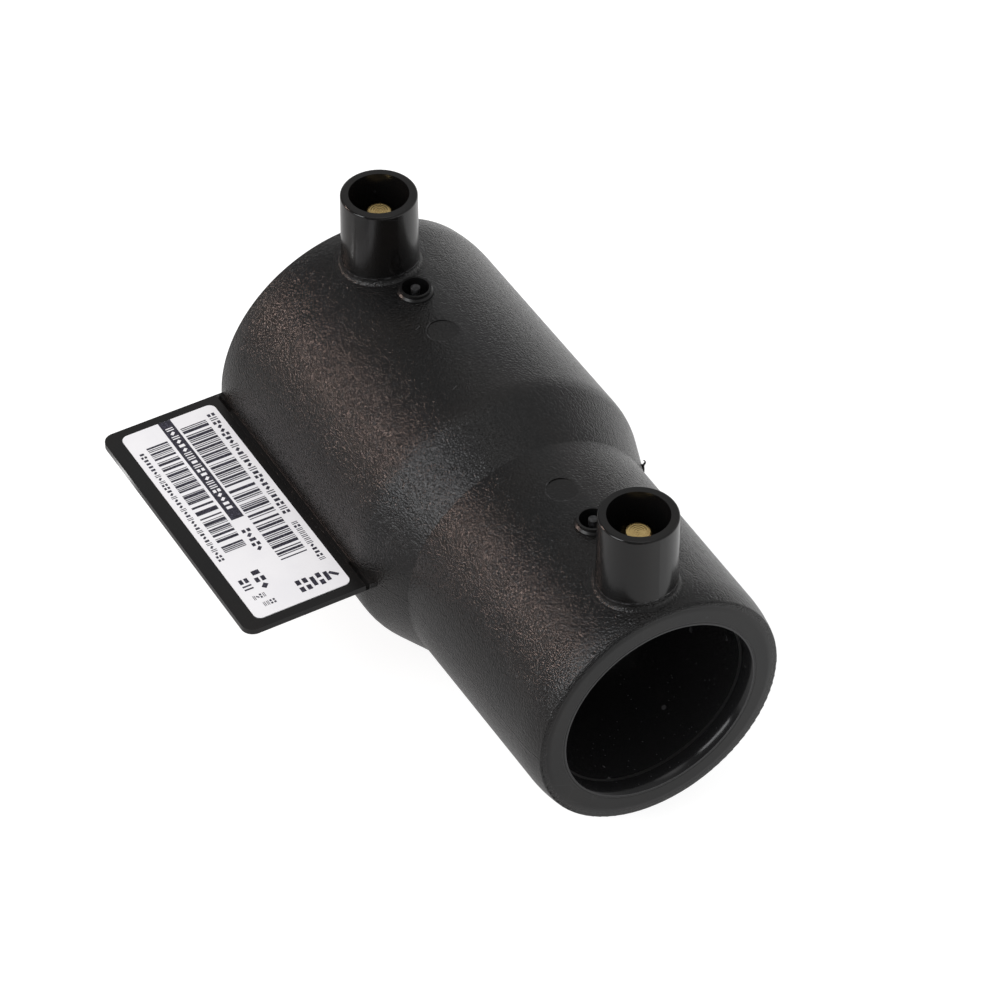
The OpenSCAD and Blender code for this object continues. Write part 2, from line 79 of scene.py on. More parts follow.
class Tree:
    """Adds nodes to a node tree and links them in short lines."""

    def __init__(self, tree):
        self.tree = tree

    def node(self, kind, **settings):
        n = self.tree.nodes.new(kind)
        inputs = settings.pop("inputs", {})
        for name, value in settings.items():
            setattr(n, name, value)
        for name, value in inputs.items():
            self.feed(n.inputs[name], value)
        return n

    def feed(self, socket, value):
        if isinstance(value, bpy.types.NodeSocket):
            self.tree.links.new(value, socket)
        else:
            socket.default_value = value

    def math(self, operation, a, b=None):
        n = self.node("ShaderNodeMath", operation=operation)
        self.feed(n.inputs[0], a)
        if b is not None:
            self.feed(n.inputs[1], b)
        return n.outputs[0]

    def times(self, a, b):
        return self.math("MULTIPLY", a, b)

    def plus(self, a, b):
        return self.math("ADD", a, b)

    def minus(self, a, b):
        return self.math("SUBTRACT", a, b)

    def most(self, a, b):
        return self.math("MAXIMUM", a, b)

    def square(self, a):
        return self.math("POWER", a, 2.0)

    def slant(self, a, b):
        """Length of the slanting line whose sides are a and b."""
        return self.math("SQRT", self.plus(self.square(a), self.square(b)))

    def ramp(self, value, low, high, to_low=0.0, to_high=1.0):
        """Smooth step of value from low to high."""
        n = self.node("ShaderNodeMapRange", interpolation_type="SMOOTHSTEP")
        for name, v in (("Value", value), ("From Min", low), ("From Max", high),
                        ("To Min", to_low), ("To Max", to_high)):
            self.feed(n.inputs[name], v)
        return n.outputs[0]

    def fade(self, value, low, high):
        """Smooth step down from 1 at low to 0 at high."""
        return self.ramp(value, low, high, 1.0, 0.0)

    def mix(self, factor, a, b):
        """Colour between a and b."""
        n = self.node("ShaderNodeMix", data_type="RGBA")
        self.feed(n.inputs["Factor"], factor)
        self.feed(n.inputs[6], a)
        self.feed(n.inputs[7], b)
        return n.outputs[2]

    def axes(self, vector):
        xyz = self.node("ShaderNodeSeparateXYZ", inputs={"Vector": vector}).outputs
        return xyz["X"], xyz["Y"], xyz["Z"]

    def vector(self, **axes):
        return self.node("ShaderNodeCombineXYZ", inputs=axes).outputs[0]

    def noise(self, place, scale, detail, **more):
        inputs = {"Vector": place, "Scale": scale, "Detail": detail, **more}
        return self.node("ShaderNodeTexNoise", inputs=inputs).outputs["Fac"]

    def cells(self, place, scale):
        """Distance to the middle of the nearest cell."""
        return self.node("ShaderNodeTexVoronoi", feature="F1",
                         inputs={"Vector": place, "Scale": scale}).outputs["Distance"]

    def bump(self, height, distance, strength=1.0, **more):
        inputs = {"Strength": strength, "Distance": distance, "Height": height, **more}
        return self.node("ShaderNodeBump", inputs=inputs).outputs[0]

    def use(self, group, **inputs):
        n = self.node("ShaderNodeGroup", node_tree=group)
        for name, value in inputs.items():
            self.feed(n.inputs[name.replace("_", " ")], value)
        return n.outputs

    def band(self, value, centre, half_width, soft):
        """1 within the half width of the centre and 0 outside, with a soft edge."""
        return self.use(BAND, Value=value, Centre=centre, Half_Width=half_width, Soft=soft)["Mask"]


def new_group(name, inputs, outputs, kind="ShaderNodeTree"):
    """An empty node group with the named sockets, and its input and output nodes."""
    group = bpy.data.node_groups.new(name, kind)
    for socket_name, socket_kind, default in inputs:
        s = group.interface.new_socket(socket_name, in_out="INPUT", socket_type=socket_kind)
        if default is not None:
            s.default_value = default
    for socket_name, socket_kind in outputs:
        group.interface.new_socket(socket_name, in_out="OUTPUT", socket_type=socket_kind)
    t = Tree(group)
    return group, t, t.node("NodeGroupInput").outputs, t.node("NodeGroupOutput").inputs


def moulded_grain_group():
    """Leathery grain of a blasted mould as a height, and wide patches where its tone turns warmer."""
    group, t, i, o = new_group(
        "moulded_grain",
        [("Vector", "NodeSocketVector", None), ("Size", "NodeSocketFloat", 0.0004)],
        [("Height", "NodeSocketFloat"), ("Patches", "NodeSocketFloat")])
    scale = t.math("DIVIDE", 1.0, i["Size"])
    fine = t.noise(i["Vector"], t.times(scale, 1.2), 1.0, Roughness=0.45)
    dome = t.square(t.cells(i["Vector"], scale))
    t.feed(o["Height"], t.minus(t.times(fine, 0.9), t.times(dome, 0.5)))
    t.feed(o["Patches"], t.noise(i["Vector"], 75.0, 3.0))
    return group


def handling_marks_group():
    """Thin short scratches and pale dust specks as masks."""
    group, t, i, o = new_group(
        "handling_marks",
        [("Vector", "NodeSocketVector", None), ("Speck Size", "NodeSocketFloat", 0.004),
         ("Speck Share", "NodeSocketFloat", 0.03)],
        [("Scratches", "NodeSocketFloat"), ("Specks", "NodeSocketFloat")])
    stretch = t.node("ShaderNodeMapping", inputs={"Vector": i["Vector"], "Rotation": (0.4, 0.2, 0.9),
                                                  "Scale": (60.0, 900.0, 900.0)})
    lines = t.node("ShaderNodeTexVoronoi", feature="DISTANCE_TO_EDGE",
                   inputs={"Vector": stretch.outputs[0], "Scale": 0.25, "Randomness": 1.0})
    thin = t.fade(lines.outputs["Distance"], 0.0, 0.012)
    where = t.ramp(t.noise(i["Vector"], 70.0, 1.0), 0.66, 0.72)
    t.feed(o["Scratches"], t.times(thin, where))
    dots = t.cells(i["Vector"], t.math("DIVIDE", 1.0, i["Speck Size"]))
    t.feed(o["Specks"], t.fade(dots, i["Speck Share"], t.times(i["Speck Share"], 1.6)))
    return group


def soft_band_group():
    """1 within a half width of a value and 0 outside, with a soft edge."""
    group, t, i, o = new_group(
        "soft_band",
        [("Value", "NodeSocketFloat", 0.0), ("Centre", "NodeSocketFloat", 0.0),
         ("Half Width", "NodeSocketFloat", 0.001), ("Soft", "NodeSocketFloat", 0.0001)],
        [("Mask", "NodeSocketFloat")])
    away = t.math("ABSOLUTE", t.minus(i["Value"], i["Centre"]))
    t.feed(o["Mask"], t.fade(away, t.minus(i["Half Width"], i["Soft"]), t.plus(i["Half Width"], i["Soft"])))
    return group


GRAIN = moulded_grain_group()
MARKS = handling_marks_group()
BAND = soft_band_group()


def new_material(name, colour, roughness, **extra):
    """A material with its tree, its shader and the Object coordinates."""
    m = bpy.data.materials.new(name)
    m.use_nodes = True
    t = Tree(m.node_tree)
    shader = m.node_tree.nodes["Principled BSDF"]
    shader.inputs["Base Color"].default_value = (*colour, 1.0)
    shader.inputs["Roughness"].default_value = roughness
    for socket, value in extra.items():
        shader.inputs[socket.replace("_", " ")].default_value = value
    m.diffuse_color = (*colour, 1.0)
    place = t.node("ShaderNodeTexCoord").outputs["Object"]
    return m, t, shader, place


BLACK = (0.0042, 0.0042, 0.0044)
WARM_BLACK = (0.0062, 0.0054, 0.005)
PALE = (0.045, 0.045, 0.047)
PALE_WEAR_AND_HIGHLIGHT = (0.075, 0.075, 0.078)
BORE_BLACK = (0.011, 0.011, 0.0115)
BORE_DUST = (0.12, 0.12, 0.125)
LIP_HIGHLIGHT_PALE = (0.09, 0.09, 0.095)
STEP_SHADE_BLACK = (0.004, 0.004, 0.004)
STEM_BLACK = (0.012, 0.012, 0.0125)
STEM_PALE = (0.035, 0.035, 0.037)
BRASS_BRIGHT = (1.0, 0.74, 0.32)
BRASS_STAIN = (0.9, 0.64, 0.27)
BRASS_GROOVE = (0.36, 0.23, 0.07)
WIRE_BRIGHT = (0.5, 0.42, 0.34)
WIRE_DARK = (0.36, 0.29, 0.22)
FILM_WHITE = (0.84, 0.84, 0.86)
FILM_GREY = (0.81, 0.81, 0.835)
INK_DARK = (0.016, 0.015, 0.026)
INK_THIN = (0.11, 0.105, 0.15)


def rgba(colour):
    return (*colour, 1.0)


def to_nearest(t, x, y, uprights):
    """Distance to the nearer of two upright lines."""
    reach = [t.slant(t.minus(x, x0), t.minus(y, y0)) for x0, y0 in uprights]
    return t.math("MINIMUM", *reach)


def body_material():
    """Black polyethylene: grained barrels and cone, smooth shrouds, rings, tag and mouth faces."""
    m, t, shader, place = new_material("black_polyethylene", BLACK, 0.4)
    x, y, z = t.axes(place)
    radius = t.slant(y, z)
    above = t.ramp(z, 0.010, 0.012)
    uneven = t.noise(place, 900.0, 3.0)
    ragged = t.times(t.minus(uneven, 0.5), 0.5 * MM)

    # Where the surface is smooth: shrouds, rings, the marks' floors, the tag and the faces
    to_shroud = to_nearest(t, x, y, TERMINAL_AT)
    by_shroud = t.fade(to_shroud, SHROUD_REACH, SHROUD_REACH + 0.1 * MM)
    # How high a point lies over the barrel it belongs to
    lift = t.minus(radius, t.ramp(x, *CONE_X, LARGE_R, SMALL_R))
    shrouds = t.times(by_shroud, t.ramp(t.plus(lift, ragged), 0.95 * MM, 1.1 * MM))
    to_ring = to_nearest(t, x, y, INDICATOR_AT)
    rings = t.fade(to_ring, RING_FOOT_R + 0.02 * MM, RING_FOOT_R + 0.12 * MM)
    to_mark = to_nearest(t, x, y, MARK_AT)
    mark_floor = t.ramp(to_mark, MARK_R - 0.15 * MM, MARK_R - 0.05 * MM, 0.4, 0.0)
    smooth = t.times(t.most(t.most(shrouds, rings), mark_floor), above)
    tag = t.times(t.fade(y, -LARGE_R + 0.05 * MM, -LARGE_R + 0.12 * MM),
                  t.fade(t.math("ABSOLUTE", z), 1.02 * MM, 1.06 * MM))
    smooth = t.most(smooth, tag)
    at_small_face = t.ramp(x, BODY_L - 0.12 * MM, BODY_L - 0.06 * MM)
    at_large_face = t.fade(x, 0.06 * MM, 0.12 * MM)

    def flat_part(at_face, edge_r):
        """The smooth part of a face, up to a ragged line near its outer edge."""
        return t.times(at_face, t.fade(t.plus(radius, ragged), edge_r - 0.75 * MM, edge_r - 0.4 * MM))

    face = t.most(flat_part(at_small_face, FACE_EDGE_R), flat_part(at_large_face, LARGE_FACE_EDGE_R))
    smooth = t.most(smooth, face)
    grained = t.minus(1.0, smooth)

    # Painted highlights: a thin broken pale ring at the foot of each shroud, standing in for its fillet's
    # highlight, and a fainter one round the foot of each indicator's ring
    broken = t.ramp(uneven, 0.42, 0.62)
    foot_highlight = t.times(t.band(lift, 0.92 * MM, 0.13 * MM, 0.09 * MM), by_shroud)
    ring_foot_highlight = t.band(to_ring, RING_FOOT_R + 0.12 * MM, 0.07 * MM, 0.05 * MM)
    wear_and_highlights = t.times(t.most(foot_highlight, t.times(ring_foot_highlight, 0.3)), t.times(above, broken))
    # Painted highlight: the round marks' edge is painted pale on the side towards the tag, where it catches
    # the light
    mark_edge_highlight = t.band(to_mark, MARK_R + 0.06 * MM, 0.1 * MM, 0.06 * MM)
    mark_edge_highlight = t.times(t.times(mark_edge_highlight, above), t.fade(y, -1.2 * MM, 0.2 * MM))
    wear_and_highlights = t.most(wear_and_highlights, t.times(mark_edge_highlight, t.times(broken, 0.8)))
    # Two short scratches, beside the crown of the large section and of the cone
    for scratch_x, scratch_y in SCRATCH_AT:
        off_x, off_y = t.minus(x, scratch_x), t.minus(y, scratch_y)
        along = t.plus(t.times(off_x, SCRATCH_WAY[0]), t.times(off_y, SCRATCH_WAY[1]))
        across = t.plus(t.times(off_x, -SCRATCH_WAY[1]), t.times(off_y, SCRATCH_WAY[0]))
        line = t.times(t.fade(t.math("ABSOLUTE", across), 0.05 * MM, 0.1 * MM),
                       t.fade(t.math("ABSOLUTE", along), 0.35 * MM, 0.6 * MM))
        wear_and_highlights = t.most(wear_and_highlights, t.times(line, above))

    grain = t.use(GRAIN, Vector=place, Size=GRAIN_SIZE)
    handled = t.use(MARKS, Vector=place, Speck_Size=0.0055)
    tone = t.mix(t.ramp(grain["Patches"], 0.35, 0.7), rgba(BLACK), rgba(WARM_BLACK))
    tone = t.mix(t.times(handled["Scratches"], 0.4), tone, rgba(PALE))
    tone = t.mix(t.times(handled["Specks"], 0.3), tone, rgba(PALE))
    # Pale for the scratches' wear and for the painted highlights at the shrouds' feet, the indicators' feet
    # and the marks' edges
    tone = t.mix(t.times(wear_and_highlights, 0.42), tone, rgba(PALE_WEAR_AND_HIGHLIGHT))
    t.feed(shader.inputs["Base Color"], tone)

    rough = t.plus(0.17, t.times(grained, 0.06))
    rough = t.plus(rough, t.times(face, 0.22))
    rough = t.plus(rough, t.times(tag, 0.08))
    fillet = t.times(t.fade(to_shroud, 7.2 * MM, 7.6 * MM), t.fade(lift, 1.0 * MM, 1.1 * MM))
    feet = t.most(rings, t.times(fillet, 0.3))
    rough = t.plus(rough, t.times(feet, t.times(above, 0.18)))
    t.feed(shader.inputs["Roughness"], rough)

    # The faces' soft outer rounding and the tag's root, as a height in metres
    def rounding(edge_r):
        return t.times(t.square(t.most(t.minus(radius, edge_r - 1.5 * MM), 0.0)), -0.24 / MM)

    slope = t.plus(t.times(rounding(FACE_EDGE_R), at_small_face),
                   t.times(rounding(LARGE_FACE_EDGE_R), at_large_face))
    bevel = t.times(tag, t.ramp(y, -LARGE_R - 0.56 * MM, -LARGE_R - 0.5 * MM))
    slope = t.plus(slope, t.times(t.times(y, -0.55), bevel))
    form = t.bump(slope, 1.0)

    # Fine lines left by the mould: along both sides, beside the crown and on the shrouds' rims
    parting = t.band(z, 0.0, 0.11 * MM, 0.07 * MM)
    parting = t.times(parting, t.times(t.ramp(x, 0.6 * MM, 0.8 * MM),
                                       t.fade(x, BODY_L - 0.8 * MM, BODY_L - 0.6 * MM)))
    off_tag = t.most(t.ramp(y, -1.0 * MM, 1.0 * MM), t.ramp(x, TAG_END, TAG_END + 0.5 * MM))
    parting = t.times(parting, off_tag)
    insert = t.times(t.times(t.band(y, -9.5 * MM, 0.1 * MM, 0.07 * MM), above),
                     t.band(x, 34.5 * MM, 11.0 * MM, 1.2 * MM))
    insert = t.times(insert, t.ramp(uneven, 0.38, 0.5))
    rim_line = t.times(t.band(to_shroud, 5.62 * MM, 0.07 * MM, 0.05 * MM), t.ramp(z, 0.033, 0.034))
    # The dents of the round marks' edge and of the joint on the small face
    dent = t.times(t.band(to_mark, MARK_R, 0.09 * MM, 0.07 * MM), above)
    joint = t.band(radius, JOINT_R + 0.1 * MM, 0.1 * MM, 0.06 * MM)
    dent = t.most(dent, t.times(joint, t.times(at_small_face, 1.6)))
    height = t.times(grain["Height"], t.plus(0.01, t.times(grained, 0.99)))
    for line, share in ((parting, 0.5), (insert, 0.22), (rim_line, -0.06), (dent, -0.35), (wear_and_highlights, 0.2)):
        height = t.plus(height, t.times(line, share))
    t.feed(shader.inputs["Normal"], t.bump(height, GRAIN_DEPTH, Normal=form))
    return m


def liner_material():
    """Glossy bore with specks and curls of dust, a flared entry band, a painted highlight along its lip's
    inner edge and painted shade on the step where the entry band ends.
    """
    m, t, shader, place = new_material("bore_polyethylene", BLACK, 0.12)
    x, y, z = t.axes(place)
    radius = t.slant(y, z)
    lip = t.times(t.ramp(x, BODY_L - 0.08 * MM, BODY_L - 0.04 * MM),
                  t.ramp(radius, ENTRY_R - 0.1 * MM, ENTRY_R))
    # Painted highlight: a thin pale line along the lip's inner edge, where the sharp edge would catch the
    # light
    lip_highlight = t.times(lip, t.band(radius, ENTRY_R + 0.1 * MM, 0.06 * MM, 0.04 * MM))
    # Painted shade: the step where the entry band ends is coloured a deeper black than the bore, and made
    # rough
    step = t.band(x, BODY_L - ENTRY_L - 0.07 * MM, 0.2 * MM, 0.08 * MM)

    fine = t.use(MARKS, Vector=place, Speck_Size=0.0012, Speck_Share=0.07)["Specks"]
    coarse = t.use(MARKS, Vector=place, Speck_Size=0.0031, Speck_Share=0.035)["Specks"]
    curl = t.band(t.cells(place, 260.0), 0.13, 0.03, 0.018)
    curl = t.times(curl, t.ramp(t.noise(place, 380.0, 1.0), 0.53, 0.59))
    dust = t.most(t.times(coarse, 0.25), t.times(fine, 0.5))
    dust = t.times(t.most(dust, curl), t.ramp(t.noise(place, 130.0, 2.0), 0.36, 0.52))
    # Dust lies in the lower half of the bore only
    dust = t.times(dust, t.fade(z, 2.0 * MM, 8.0 * MM))
    tone = t.mix(t.times(dust, 0.5), rgba(BORE_BLACK), rgba(BORE_DUST))
    tone = t.mix(t.times(lip_highlight, 0.2), tone, rgba(LIP_HIGHLIGHT_PALE))
    tone = t.mix(step, tone, rgba(STEP_SHADE_BLACK))
    t.feed(shader.inputs["Base Color"], tone)

    band = t.ramp(x, BODY_L - ENTRY_L, BODY_L - ENTRY_L + 0.2 * MM)
    rough = t.plus(0.12, t.times(band, t.times(t.noise(place, 700.0, 2.0), 0.1)))
    t.feed(shader.inputs["Roughness"], t.plus(rough, t.times(step, 0.6)))

    # The entry band flares a little towards the mouth
    flare = t.times(t.square(t.most(t.minus(x, BODY_L - 2.6 * MM), 0.0)), -0.13 / MM)
    inside = t.fade(radius, ENTRY_R + 0.01 * MM, ENTRY_R + 0.03 * MM)
    form = t.bump(t.times(flare, inside), 1.0)
    wave = t.plus(t.noise(place, 160.0, 2.0), t.times(dust, 0.6))
    t.feed(shader.inputs["Normal"], t.bump(wave, 0.06 * MM, 0.6, Normal=form))
    return m


def stem_material():
    """The indicator's stem: blurry black polyethylene with a rough end."""
    m, t, shader, place = new_material("indicator_polyethylene", STEM_BLACK, 0.35)
    uneven = t.noise(place, 1600.0, 3.0)
    t.feed(shader.inputs["Base Color"], t.mix(t.ramp(uneven, 0.4, 0.65), rgba(STEM_BLACK), rgba(STEM_PALE)))
    t.feed(shader.inputs["Normal"], t.bump(uneven, 0.08 * MM, 0.8))
    return m


def brass_material():
    """Turned brass: rings from the tool on the pin's end, slight tarnish."""
    m, t, shader, place = new_material("turned_brass", (0.8, 0.56, 0.2), 0.3, Metallic=1.0)
    x, y, _ = t.axes(place)
    rings = t.math("SINE", t.times(to_nearest(t, x, y, TERMINAL_AT), TURNING_WAVES))
    stain = t.noise(place, 1100.0, 4.0)
    tone = t.mix(t.ramp(stain, 0.38, 0.66), rgba(BRASS_BRIGHT), rgba(BRASS_STAIN))
    tone = t.mix(t.times(t.plus(rings, 1.0), 0.04), tone, rgba(BRASS_GROOVE))
    t.feed(shader.inputs["Base Color"], tone)
    t.feed(shader.inputs["Roughness"], t.ramp(stain, 0.35, 0.7, 0.16, 0.3))
    t.feed(shader.inputs["Normal"], t.bump(t.plus(t.times(rings, 0.6), stain), 0.03 * MM, 0.35))
    return m


def wire_material():
    """Drawn resistance wire."""
    m, t, shader, place = new_material("resistance_wire", WIRE_BRIGHT, 0.35, Metallic=1.0)
    drawn = t.noise(place, 2500.0, 2.0)
    t.feed(shader.inputs["Roughness"], t.ramp(drawn, 0.3, 0.7, 0.28, 0.45))
    t.feed(shader.inputs["Base Color"], t.mix(t.ramp(drawn, 0.4, 0.7), rgba(WIRE_BRIGHT), rgba(WIRE_DARK)))
    return m


def label_material():
    """White film: a soft sheen and the faintest unevenness."""
    m, t, shader, place = new_material("white_label_film", FILM_WHITE, 0.42)
    uneven = t.noise(place, 140.0, 3.0)
    t.feed(shader.inputs["Base Color"], t.mix(t.ramp(uneven, 0.3, 0.7), rgba(FILM_GREY), rgba(FILM_WHITE)))
    t.feed(shader.inputs["Normal"], t.bump(uneven, 0.04 * MM, 0.3))
    return m


def ink_material():
    """Thermal print: blue-black, a little thin in places."""
    m, t, shader, place = new_material("label_ink", INK_DARK, 0.4)
    thin = t.noise(place, 3500.0, 2.0)
    t.feed(shader.inputs["Base Color"], t.mix(t.ramp(thin, 0.45, 0.85), rgba(INK_DARK), rgba(INK_THIN)))
    return m


def dress(node, material):
    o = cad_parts[node]
    o.data.materials.clear()
    o.data.materials.append(material)


BODY = body_material()
LINER = liner_material()
STEM = stem_material()
BRASS = brass_material()
WIRE = wire_material()
LABEL = label_material()
INK = ink_material()

dress("body", BODY)
dress("liner", LINER)
dress("heating_wire", WIRE)
dress("label", LABEL)
for side in ("large", "small"):
    dress("terminal_pin_" + side, BRASS)
    dress("indicator_pin_" + side, STEM)


# The label's print: bars and plain marks that spell nothing
def row_of_points(t, length, step):
    """As many points along X as steps fit in the length."""
    count = t.node("FunctionNodeFloatToInt", rounding_mode="FLOOR",
                   inputs={0: t.math("DIVIDE", length, step)}).outputs[0]
    return t.node("GeometryNodeMeshLine", inputs={"Count": count, "Offset": t.vector(X=step)}).outputs[0]


def inked(t, instances, ink):
    real = t.node("GeometryNodeRealizeInstances", inputs={0: instances}).outputs[0]
    return t.node("GeometryNodeSetMaterial", inputs={"Geometry": real, "Material": ink}).outputs[0]


def bar_row_tree():
    """Bars along X at a fixed pitch. Some are left out at random and their widths vary."""
    group, t, i, o = new_group(
        "bar_row",
        [("Length", "NodeSocketFloat", 0.03), ("Height", "NodeSocketFloat", 0.004),
         ("Pitch", "NodeSocketFloat", 0.0004), ("Thin", "NodeSocketFloat", 0.3),
         ("Thick", "NodeSocketFloat", 0.6), ("Film", "NodeSocketFloat", 0.00001),
         ("Density", "NodeSocketFloat", 0.5), ("Seed", "NodeSocketInt", 1),
         ("Ink", "NodeSocketMaterial", None)],
        [("Geometry", "NodeSocketGeometry")], "GeometryNodeTree")
    bar_size = t.vector(X=i["Pitch"], Y=i["Height"], Z=i["Film"])
    bar = t.node("GeometryNodeMeshCube", inputs={"Size": bar_size}).outputs[0]
    printed = t.node("FunctionNodeRandomValue", data_type="BOOLEAN",
                     inputs={"Probability": i["Density"], "Seed": i["Seed"]}).outputs[3]
    widths = t.node("FunctionNodeRandomValue", data_type="FLOAT", inputs={"Seed": t.plus(i["Seed"], 7.0)})
    t.feed(widths.inputs[2], i["Thin"])
    t.feed(widths.inputs[3], i["Thick"])
    scale = t.vector(X=widths.outputs[1], Y=1.0, Z=1.0)
    placed = t.node("GeometryNodeInstanceOnPoints",
                    inputs={"Points": row_of_points(t, i["Length"], i["Pitch"]), "Selection": printed,
                            "Instance": bar, "Scale": scale}).outputs[0]
    t.feed(o["Geometry"], inked(t, placed, i["Ink"]))
    return group


def printed_marks_tree():
    """A row of plain marks along X, picked at random from a bank of four."""
    group, t, i, o = new_group(
        "printed_marks",
        [("Length", "NodeSocketFloat", 0.01), ("Height", "NodeSocketFloat", 0.001),
         ("Step", "NodeSocketFloat", 0.001), ("Fill", "NodeSocketFloat", 0.72),
         ("Film", "NodeSocketFloat", 0.00001), ("Seed", "NodeSocketInt", 1),
         ("Ink", "NodeSocketMaterial", None)],
        [("Geometry", "NodeSocketGeometry")], "GeometryNodeTree")
    width = t.times(i["Step"], i["Fill"])

    def stroke(w, h, x, y, turn=0.0):
        """A block whose size and place are shares of the mark's width and height."""
        size = t.vector(X=t.times(width, w), Y=t.times(i["Height"], h), Z=i["Film"])
        at = t.vector(X=t.times(width, x), Y=t.times(i["Height"], y))
        cube = t.node("GeometryNodeMeshCube", inputs={"Size": size}).outputs[0]
        return t.node("GeometryNodeTransform", inputs={"Geometry": cube, "Translation": at,
                                                       "Rotation": (0.0, 0.0, turn)}).outputs[0]

    def shape(*strokes):
        join = t.node("GeometryNodeJoinGeometry")
        for s in strokes:
            t.tree.links.new(s, join.inputs[0])
        return t.node("GeometryNodeGeometryToInstance", inputs={0: join.outputs[0]}).outputs[0]

    pair = shape(stroke(0.3, 1.0, -0.35, 0.0), stroke(0.3, 1.0, 0.35, 0.0))
    stack = shape(stroke(1.0, 0.4, 0.0, 0.3), stroke(1.0, 0.4, 0.0, -0.3))
    block = shape(stroke(0.9, 0.75, 0.0, 0.0))
    diamond = shape(stroke(0.75, 0.6, 0.0, 0.0, math.pi / 4))
    bank = t.node("GeometryNodeJoinGeometry")
    for s in (pair, stack, block, diamond):
        t.tree.links.new(s, bank.inputs[0])
    pick = t.node("FunctionNodeRandomValue", data_type="INT", inputs={"Seed": i["Seed"]})
    pick.inputs[4].default_value = 0
    pick.inputs[5].default_value = 3
    placed = t.node("GeometryNodeInstanceOnPoints",
                    inputs={"Points": row_of_points(t, i["Length"], i["Step"]), "Instance": bank.outputs[0],
                            "Pick Instance": True, "Instance Index": pick.outputs[2]}).outputs[0]
    t.feed(o["Geometry"], inked(t, placed, i["Ink"]))
    return group


def grow(name, tree, **inputs):
    """Runs a Geometry Nodes tree once and returns its result as a plain mesh."""
    host = bpy.data.objects.new(name + "_host", bpy.data.meshes.new(name + "_host"))
    bpy.context.scene.collection.objects.link(host)
    modifier = host.modifiers.new(name, "NODES")
    modifier.node_group = tree
    sockets = {item.name: item.identifier for item in tree.interface.items_tree if item.in_out == "INPUT"}
    for key, value in inputs.items():
        modifier[sockets[key]] = value
    bpy.context.view_layer.update()
    made = bpy.data.meshes.new_from_object(host.evaluated_get(bpy.context.evaluated_depsgraph_get()))
    host.modifiers.clear()
    bpy.data.objects.remove(host)
    made.name = name
    return made


def add_piece(name, mesh, materials=()):
    for material in materials:
        mesh.materials.append(material)
    o = bpy.data.objects.new(name, mesh)
    bpy.context.scene.collection.objects.link(o)
    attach(o, "root")


INK_FILM = 0.016 * MM
BAR_ROW = bar_row_tree()
PRINTED_MARKS = printed_marks_tree()


def lay(mesh, x, y, turned=False, level=0.0):
    """Puts a printed row on the label: x and y are the middle of its first step, in millimetres."""
    turn = Matrix.Rotation(math.pi / 2 if turned else 0.0, 4, "Z")
    mesh.transform(Matrix.Translation((x * MM, y * MM, LABEL_TOP + level + INK_FILM / 2)) @ turn)
    return mesh


def bars(name, x, y, length, height, pitch, thin, thick, density, seed, level=0.0):
    """A row of bars. The widths are shares of the pitch, the density is the share that is printed."""
    mesh = grow(name, BAR_ROW, Length=length * MM, Height=height * MM, Pitch=pitch * MM,
                Thin=thin, Thick=thick, Film=INK_FILM, Density=density, Seed=seed, Ink=INK)
    add_piece(name, lay(mesh, x, y, level=level))


def marks(name, x, y, length, height, step, fill, seed, turned=False, level=0.0, material=INK):
    """A row of plain marks. The fill is a mark's share of its step."""
    mesh = grow(name, PRINTED_MARKS, Length=length * MM, Height=height * MM, Step=step * MM,
                Fill=fill, Film=INK_FILM, Seed=seed, Ink=material)
    add_piece(name, lay(mesh, x, y, turned, level))


def label_strip():
    """The dark strip between both rows of bars."""
    x0, x1, y0, y1 = LABEL_LO.x + 0.02 * MM, 27.5 * MM, -36.75 * MM, -34.6 * MM
    corners = [(x0, y0), (x1, y0), (x1, y1), (x0, y1)]
    strip = bmesh.new()
    bottom = [strip.verts.new((x, y, LABEL_TOP)) for x, y in corners]
    top = [strip.verts.new((x, y, LABEL_TOP + INK_FILM)) for x, y in corners]
    strip.faces.new(list(reversed(bottom)))
    strip.faces.new(top)
    for k in range(4):
        strip.faces.new((bottom[k], bottom[(k + 1) % 4], top[(k + 1) % 4], top[k]))
    mesh = bpy.data.meshes.new("label_strip")
    strip.to_mesh(mesh)
    strip.free()
    add_piece("label_strip", mesh, [INK])


def print_label():
    # Place and sizes in millimetres, then shares and seed
    bars("label_bars_inner_thick", 4.5, -31.95, 35.8, 4.5, 1.58, 0.2, 0.38, 0.97, 3)
    bars("label_bars_inner_thin", 5.05, -31.95, 34.6, 4.5, 0.395, 0.28, 0.62, 0.62, 4, INK_FILM)
    bars("label_bars_outer_thick", 6.6, -39.1, 28.2, 3.7, 1.42, 0.22, 0.4, 0.97, 11)
    bars("label_bars_outer_thin", 7.1, -39.1, 27.4, 3.7, 0.36, 0.3, 0.65, 0.66, 12, INK_FILM)
    marks("label_row_inner", 4.4, -28.45, 27.0, 1.25, 1.02, 0.66, 5)
    marks("label_row_inner_end", 32.8, -28.5, 10.6, 1.0, 0.82, 0.62, 8)
    marks("label_row_outer", 7.3, -42.15, 28.2, 0.95, 0.8, 0.62, 21)
    marks("label_row_middle", 30.6, -35.85, 6.2, 1.4, 1.12, 0.66, 13)
    marks("label_row_big", 39.5, -38.9, 5.2, 1.7, 1.6, 0.66, 17)
    marks("label_row_big_outer", 40.4, -41.4, 3.3, 1.5, 1.5, 0.7, 27)
    marks("label_row_end", 45.6, -34.3, 7.0, 2.7, 1.15, 0.66, 33, turned=True)
    marks("label_row_end_outer", 44.4, -41.6, 2.2, 0.95, 0.55, 0.6, 34, turned=True)
    marks("label_row_end_inner", 46.3, -40.8, 2.2, 0.95, 0.55, 0.6, 36, turned=True)
    label_strip()
    marks("label_strip_marks", 4.2, -35.68, 21.6, 1.25, 1.08, 0.62, 41, level=INK_FILM, material=LABEL)


